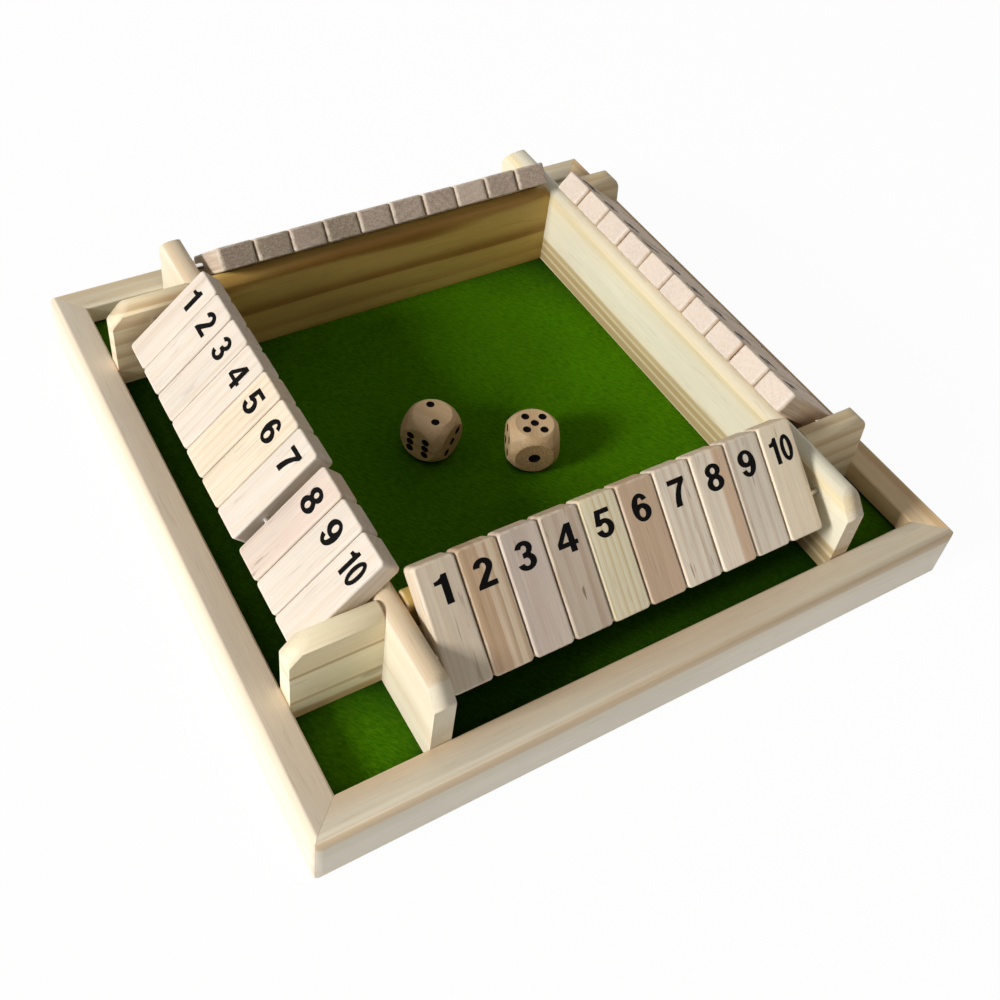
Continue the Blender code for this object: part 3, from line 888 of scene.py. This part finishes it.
def addDie(name, wood, ink):
    shape = newBox(die["size"], die["size"], die["size"])
    ball = bmesh.new()
    bmesh.ops.create_uvsphere(
        ball, u_segments=die["segments"], v_segments=die["rings"],
        radius=math.hypot(die["size"] / 2, die["flatRadius"]),
    )
    for face in ball.faces:
        face.smooth = True
    shape = carve(shape, ball, "INTERSECT")
    drills = bmesh.new()
    pips = []
    for outward, across, count in dieFaces[name]:
        outward = Vector(outward)
        across = Vector(across)
        along = outward.cross(across)
        radius = die["aceRadius"] if count == 1 else die["pipRadius"]
        turn = Matrix((across, along, outward)).transposed().to_4x4()
        for markX, markY in pipMarks(count):
            middle = (across * markX + along * markY) * die["pipSpacing"] / 2
            centre = middle + outward * die["size"] / 2
            bmesh.ops.create_cone(
                drills, cap_ends=True, segments=die["pipSides"], radius1=radius, radius2=radius,
                depth=2 * die["pipDepth"], matrix=Matrix.Translation(centre) @ turn,
            )
            pips.append((centre, outward, radius))
    shape = carve(shape, drills)
    worn = shape.faces.layers.float.get("worn") or shape.faces.layers.float.new("worn")
    for face in shape.faces:
        near = face.calc_center_median()
        for centre, outward, radius in pips:
            inward = (centre - near).dot(outward)
            aside = (near - centre + outward * inward).length
            if aside < radius * 1.02 and 0.02 * mm < inward < 1.5 * die["pipDepth"]:
                face.material_index = 1
                face.smooth = len(face.verts) == 4 and abs(face.normal.dot(outward)) < 0.5
        if face.smooth and face.material_index == 0:
            face[worn] = 0.6
    markGrain(shape, boardAt((0, 1, 0), (1, 0, 0), 0.2), (6, 11))
    low, high = nodeBox(name)
    centre = (low + high) / 2
    place = Matrix.Translation((centre.x, centre.y, die["level"])) @ Matrix.Rotation(dieYaw[name], 4, "Z")
    words = name.split("_")
    addPiece(words[0] + "Die", shape, place, [wood, ink], name, name)


def addCamera(look):
    camera = bpy.data.objects.new("camera", bpy.data.cameras.new("camera"))
    bpy.context.scene.collection.objects.link(camera)
    turn = Matrix((look["right"], look["up"], look["back"])).transposed().to_4x4()
    camera.matrix_world = Matrix.Translation(look["place"]) @ turn
    camera.data.lens = look["lens"]
    camera.data.shift_x, camera.data.shift_y = look["shift"]
    camera.data.clip_start = 0.01
    bpy.context.scene.camera = camera


def seenByEye(tree):            # 1 where the eye, a mirror or a lens sees the surface itself
    path = put(tree, "LightPath")
    seen = sums(tree, "ADD", path.outputs["Is Camera Ray"], path.outputs["Is Glossy Ray"], True)
    return sums(tree, "ADD", seen, path.outputs["Is Transmission Ray"], True)


def addStudio():
    world = bpy.data.worlds.new("studio")
    bpy.context.scene.world = world
    world.use_nodes = True
    tree = world.node_tree
    room = tree.nodes["Background"]
    room.inputs["Color"].default_value = (*studio["sky"], 1)
    height = put(tree, "SeparateXYZ", {0: put(tree, "TexCoord").outputs["Generated"]}).outputs["Z"]
    level = ranged(tree, height, 0.0, 0.95, studio["skyHorizon"], studio["skyZenith"], "LINEAR")
    tree.links.new(level, room.inputs["Strength"])
    white = put(tree, "Background", {"Color": (1, 1, 1, 1), "Strength": 1.0})
    both = put(tree, "MixShader", {0: seenByEye(tree), 1: room.outputs[0], 2: white.outputs[0]})
    tree.links.new(both.outputs[0], tree.nodes["World Output"].inputs["Surface"])

    lamp = bpy.data.lights.new("keyLamp", "AREA")
    lamp.energy = studio["keyPower"]
    lamp.color = studio["keyColour"]
    lamp.size = studio["keySize"]
    key = bpy.data.objects.new("keyLamp", lamp)
    bpy.context.scene.collection.objects.link(key)
    key.location = studio["keyPlace"]
    key.rotation_euler = (studio["keyAim"] - studio["keyPlace"]).to_track_quat("-Z", "Y").to_euler()

    shape = bmesh.new()
    bmesh.ops.create_grid(shape, x_segments=1, y_segments=1, size=studio["floorSize"] / 2)
    bmesh.ops.translate(shape, vec=(0, 0, -studio["floorDrop"]), verts=shape.verts)
    floor = toObject("studioFloor", shape)
    material, tree, shader = newMaterial("studioFloor")
    shader.inputs["Base Color"].default_value = studio["floorColour"]
    shader.inputs["Roughness"].default_value = 1.0
    shader.inputs["Specular IOR Level"].default_value = 0.0
    glow = put(tree, "Emission", {"Color": (1, 1, 1, 1), "Strength": 1.0})
    share = sums(tree, "MULTIPLY", seenByEye(tree), studio["floorGlow"])
    both = put(tree, "MixShader", {0: share, 1: shader.outputs[0], 2: glow.outputs[0]})
    under = put(tree, "NewGeometry").outputs["Backfacing"]      # the floor hides nothing from below
    clear = put(tree, "BsdfTransparent")
    seeThrough = put(tree, "MixShader", {0: under, 1: both.outputs[0], 2: clear.outputs[0]})
    tree.links.new(seeThrough.outputs[0], tree.nodes["Material Output"].inputs["Surface"])
    floor.data.materials.append(material)


addCamera(photoCamera)
addStudio()
bpy.context.scene.view_settings.view_transform = "Standard"
print("camera and studio ready")

smoothBoard = {"fibre": 0.05, "blotch": 0.05, "flecks": 0.1, "wander": 2.5 * mm}
woods = {
    "railFront": makeWood(
        "railFront", **smoothBoard, early=paint(230, 221, 202), late=paint(216, 199, 168), ringStep=9 * mm,
        rings=0.45, knots=0.7, fleckColour=paint(150, 112, 72),
        # Painted light and shade: the pale band over the lower half lightens the front face and the greyer band
        # darkens the top; the tan stripe below the crest is heartwood.
        bands=(
            ("Y", 10.8, 1.2, 1.6, 0.7, paint(218, 206, 184)), ("Y", 7.8, 0.9, 1.8, 0.6, paint(202, 168, 122)),
            ("Y", -5.0, 5.0, 4.0, 0.6, paint(240, 233, 220)),
        ),
    ),
    "railRight": makeWood(
        "railRight", **smoothBoard, early=paint(236, 208, 166), late=paint(212, 174, 124), ringStep=7 * mm,
        knots=0.4, bands=(("X", -1.5, 0.6, 1.2, 0.5, paint(200, 160, 110)),),
    ),
    "railBack": makeWood(
        "railBack", **smoothBoard, early=paint(228, 217, 192), late=paint(208, 188, 152), ringStep=8 * mm,
        rings=0.6, bands=(("X", -2.0, 0.8, 1.2, 0.5, paint(204, 178, 138)),),
    ),
    "railLeft": makeWood(
        "railLeft", **smoothBoard, early=paint(231, 219, 200), late=paint(212, 190, 160), ringStep=8 * mm,
        rings=0.5, knots=0.5, fleckColour=paint(150, 112, 72),
        bands=(("Y", 8.4, 0.6, 1.4, 0.3, paint(212, 182, 142)), ("Y", -5.0, 5.0, 3.0, 0.4, paint(232, 224, 208))),
    ),
    "wallPale": makeWood(
        "wallPale", **smoothBoard, early=paint(229, 219, 196), late=paint(212, 190, 150), ringStep=12 * mm,
        rings=0.45, bands=(("Y", 15.0, 0.8, 1.2, 0.5, paint(206, 168, 118)),), end=paint(228, 214, 190), endShare=0.3,
    ),
    "wallRight": makeWood(
        "wallRight", **smoothBoard, early=paint(230, 223, 200), late=paint(214, 196, 156), ringStep=12 * mm,
        rings=0.4, end=paint(204, 174, 144), endShare=0.7,
        bands=(
            ("Y", 12.2, 1.4, 1.5, 0.45, paint(224, 200, 142)), ("Y", -12.5, 4.5, 4.0, 0.55, paint(188, 166, 116)),
            ("Y", -6.8, 0.5, 1.2, 0.6, paint(170, 142, 88)), ("Y", -10.4, 0.7, 1.2, 0.7, paint(156, 128, 74)),
            ("Y", -14.2, 1.0, 1.2, 0.7, paint(150, 122, 70)),
        ),
    ),
    "wallStriped": makeWood(
        "wallStriped", **smoothBoard, early=paint(230, 212, 176), late=paint(188, 154, 108), ringStep=5 * mm,
        rings=0.85, end=paint(232, 222, 202), endShare=0.5,
    ),
    # Painted shade: the dark olive colour is partly the board's own banding and partly painted shade and painted
    # green light thrown up from the felt.
    "wallBanded": makeWood(
        "wallBanded", fibre=0.07, blotch=0.07, early=paint(188, 158, 86), late=paint(130, 86, 26), rings=0.95,
        ringStep=6.2 * mm, wander=5 * mm,
    ),
    "wallGreenish": makeWood(
        "wallGreenish", **smoothBoard, early=paint(240, 231, 200), late=paint(224, 205, 164), ringStep=9 * mm,
        rings=0.5, end=paint(236, 226, 206), endShare=0.5, knots=0.3,
        bands=(
            ("Y", 10.5, 4.5, 3.0, 0.35, paint(230, 208, 168)), ("Y", 3.4, 0.25, 0.6, 0.6, paint(170, 134, 84)),
            ("Y", -8.6, 0.3, 0.8, 0.5, paint(190, 156, 104)), ("Y", -14.8, 1.2, 1.6, 0.7, paint(192, 154, 98)),
        ),
    ),
    "pale": makeWood(
        "tilePale", early=paint(220, 208, 194), late=paint(208, 187, 162), worn=paint(240, 230, 218), rings=0.45,
        end=paint(186, 164, 144), fibre=0.07, blotch=0.07,
    ),
    "cream": makeWood(
        "tileCream", early=paint(225, 209, 186), late=paint(206, 178, 142), ringStep=2.4 * mm,
        end=paint(186, 164, 144), fibre=0.08, blotch=0.08, rings=0.6,
    ),
    "beige": makeWood("tileBeige", early=paint(216, 200, 178), late=paint(198, 174, 146), flecks=0.35, fibre=0.08),
    "striped": makeWood(
        "tileStriped", early=paint(214, 194, 166), late=paint(168, 132, 96), heart=paint(176, 140, 106),
        heartShare=0.6, heartFrom=21 * mm, heartFade=3 * mm, ringStep=2.8 * mm, rings=0.8, fibre=0.1,
    ),
    "flecked": makeWood(
        "tileFlecked", early=paint(230, 217, 198), late=paint(196, 167, 139), ringStep=2.6 * mm, rings=0.7,
        flecks=0.6, fibre=0.1,
    ),
    "lightFlecked": makeWood(
        "tileLightFlecked", early=paint(232, 219, 200), late=paint(200, 172, 144), ringStep=3.4 * mm, rings=0.6,
        flecks=0.5, fibre=0.08,
    ),
    "halfBrown": makeWood(
        "tileHalfBrown", early=paint(236, 221, 200), late=paint(212, 186, 156), heart=paint(200, 164, 130),
        heartShare=0.75, heartFrom=32 * mm, heartFade=1.5 * mm, ringStep=3 * mm, rings=0.5, fibre=0.08,
    ),
    "pink": makeWood("tilePink", early=paint(211, 194, 180), late=paint(192, 166, 148), flecks=0.4, fibre=0.08),
    "grey": makeWood("tileGrey", early=paint(198, 181, 162), late=paint(168, 145, 122), flecks=0.7, fibre=0.1),
    "yellow": makeWood(
        "tileYellow", early=paint(230, 219, 188), late=paint(200, 172, 118), ringStep=1.9 * mm, rings=0.8,
        fibre=0.08,
    ),
    "smooth": makeWood(
        "tileSmooth", early=paint(204, 176, 148), late=paint(186, 154, 124), rings=0.35, fibre=0.06, blotch=0.06
    ),
    "lightBeige": makeWood(
        "tileLightBeige", early=paint(228, 213, 188), late=paint(208, 184, 152), rings=0.5, flecks=0.35, fibre=0.07
    ),
    # Painted light: the pale end colour lightens the ends of the right row, which face the lamp; the browner faces
    # are painted shade.
    "litEnds": makeWood(
        "tileChalky", early=paint(214, 190, 164), late=paint(192, 162, 132), end=paint(224, 212, 202),
        worn=paint(240, 234, 224), rings=0.5, endShare=0.85,
    ),
    # Painted shade: the back row's ends get darker colours than the other rows' for the shade they lie in, darkest at
    # the row's shadowed end.
    "dusky": makeWood(
        "tileDusky", early=paint(206, 188, 168), late=paint(174, 150, 126), end=paint(122, 106, 92), endShare=0.85,
        flecks=0.4,
    ),
    # Painted shade on the ends, lighter than the look above.
    "shadedEndsPale": makeWood(
        "tileDuskyPale", early=paint(216, 198, 180), late=paint(186, 160, 138), end=paint(148, 130, 118),
        endShare=0.8, flecks=0.4,
    ),
    # Painted shade on the ends, the lightest of the back row.
    "shadedEndsLight": makeWood(
        "tileDuskyLight", early=paint(222, 206, 188), late=paint(196, 172, 150), end=paint(188, 168, 154),
        endShare=0.75, flecks=0.4,
    ),
    "dice": makeWood(
        "diceWood", early=paint(204, 174, 134), late=paint(176, 140, 100), end=paint(116, 88, 44),
        worn=paint(212, 186, 150), ringStep=2.6 * mm, rings=0.5, endShare=0.85, flecks=0.3, fibre=0.1,
    ),
}
numberInk = makeInk("numberInk", paint(5, 4, 4))
pipInk = makeInk("pipInk", paint(14, 11, 9))
print("materials ready:", len(woods) + 2)

cadNodes["base_board"].material_slots[0].material = makePlywood()
addFelt(makeFelt())
addRails(woods)
print("floor and rails in place")
addWalls(woods)
addRods(makeSteel())
print("walls, wings and rods in place")
addTiles(woods, numberInk)
print("tiles in place")
for dieName in dieFaces:
    addDie(dieName, woods["dice"], pipInk)
print("dice in place")
